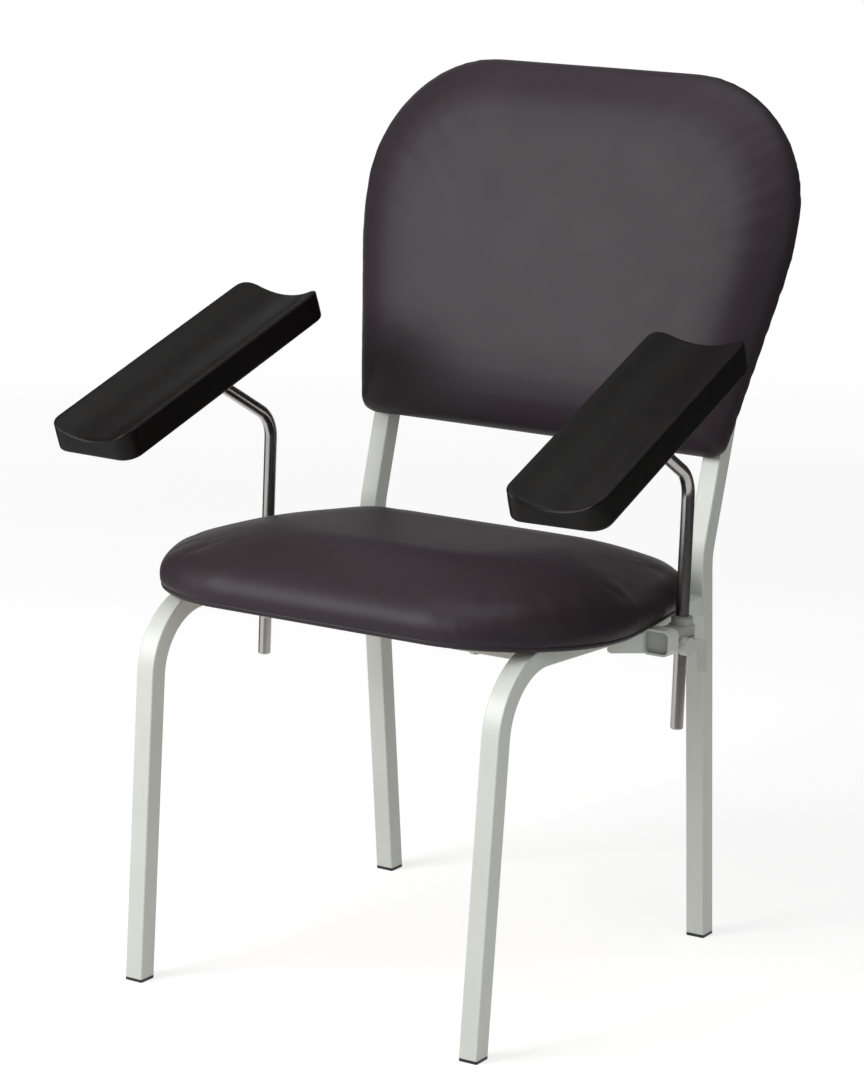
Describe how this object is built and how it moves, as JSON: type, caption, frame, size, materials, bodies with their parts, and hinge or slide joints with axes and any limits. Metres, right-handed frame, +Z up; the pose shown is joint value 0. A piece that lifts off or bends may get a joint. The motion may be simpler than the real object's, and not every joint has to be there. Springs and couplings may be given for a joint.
{
  "type": "phlebotomy chair",
  "caption": "Blood-draw chair: bent square-tube frame, crowned seat, raked rounded backrest and troughed arm rests on clamped rods that rise, drop and swing.",
  "frame": {"origin": "on the floor, below the middle of the chair's overall box", "axes": "+Z up, the chair faces -Y, +X to the right as seen from the front"},
  "size_m": [0.7744, 0.6668, 1.0694],
  "materials": {
    "frame_paint": "pale grey powder coat, satin",
    "black_plastic": "moulded black",
    "bush_plastic": "turned grey plastic",
    "foot_plastic": "moulded dark grey",
    "clamp_grey": "cast, painted grey",
    "lever_grey": "cast lever, grey",
    "zinc_steel": "zinc plated",
    "rod_chrome": "polished",
    "board_wood": "raw plywood",
    "back_panel": "plywood under black cloth",
    "vinyl": "dark grey vinyl-coated fabric, satin",
    "arm_foam": "integral-skin foam, matt black"
  },
  "bodies": {
    "frame": {"cross_tube_front": "frame_paint", "cross_tube_rear": "frame_paint", "seat_board": "board_wood", "seat_cushion": "vinyl", "seat_screws": "zinc_steel", "seat_tee_nuts": "zinc_steel", "back_board": "back_panel", "back_cushion": "vinyl", "back_screws": "zinc_steel", "back_tee_nuts": "zinc_steel", "side_tube_left": "frame_paint", "rear_upright_left": "frame_paint", "upright_plug_left": "black_plastic", "foot_front_left": "foot_plastic", "foot_rear_left": "foot_plastic", "arm_bracket_left": "frame_paint", "clamp_block_left": "clamp_grey", "clamp_nut_left": "zinc_steel", "side_tube_right": "frame_paint", "rear_upright_right": "frame_paint", "upright_plug_right": "black_plastic", "foot_front_right": "foot_plastic", "foot_rear_right": "foot_plastic", "arm_bracket_right": "frame_paint", "clamp_block_right": "clamp_grey", "clamp_nut_right": "zinc_steel"},
    "lever_left": {"clamp_lever_left": "lever_grey", "clamp_stud_left": "zinc_steel"},
    "bush_left": {"clamp_bush_left": "bush_plastic"},
    "arm_left": {"arm_rod_left": "rod_chrome", "arm_plate_left": "rod_chrome", "arm_board_left": "board_wood", "arm_pad_left": "arm_foam", "arm_screws_left": "zinc_steel"},
    "lever_right": {"clamp_lever_right": "lever_grey", "clamp_stud_right": "zinc_steel"},
    "bush_right": {"clamp_bush_right": "bush_plastic"},
    "arm_right": {"arm_rod_right": "rod_chrome", "arm_plate_right": "rod_chrome", "arm_board_right": "board_wood", "arm_pad_right": "arm_foam", "arm_screws_right": "zinc_steel"}
  },
  "joints": [
    {"name": "lever_turn_left", "type": "hinge", "parent": "frame", "child": "lever_left", "pos_m": [-0.3041, 0.00359, 0.43397], "axis": [-1, 0.0099, 0], "range_deg": [0, 75]},
    {"name": "arm_swing_left", "type": "hinge", "parent": "frame", "child": "bush_left", "pos_m": [-0.30384, 0.02945, 0.43062], "axis": [-0.0005, -0.0523, -0.9986], "range_deg": [-30, 90]},
    {"name": "arm_height_left", "type": "slide", "parent": "bush_left", "child": "arm_left", "axis": [0.0005, 0.0523, 0.9986], "range_m": [-0.06, 0.06]},
    {"name": "lever_turn_right", "type": "hinge", "parent": "frame", "child": "lever_right", "pos_m": [0.3041, 0.00359, 0.43397], "axis": [-1, -0.0099, 0], "range_deg": [0, 75]},
    {"name": "arm_swing_right", "type": "hinge", "parent": "frame", "child": "bush_right", "pos_m": [0.30384, 0.02945, 0.43062], "axis": [-0.0005, 0.0523, 0.9986], "range_deg": [-30, 90]},
    {"name": "arm_height_right", "type": "slide", "parent": "bush_right", "child": "arm_right", "axis": [-0.0005, 0.0523, 0.9986], "range_m": [-0.06, 0.06]}
  ]
}
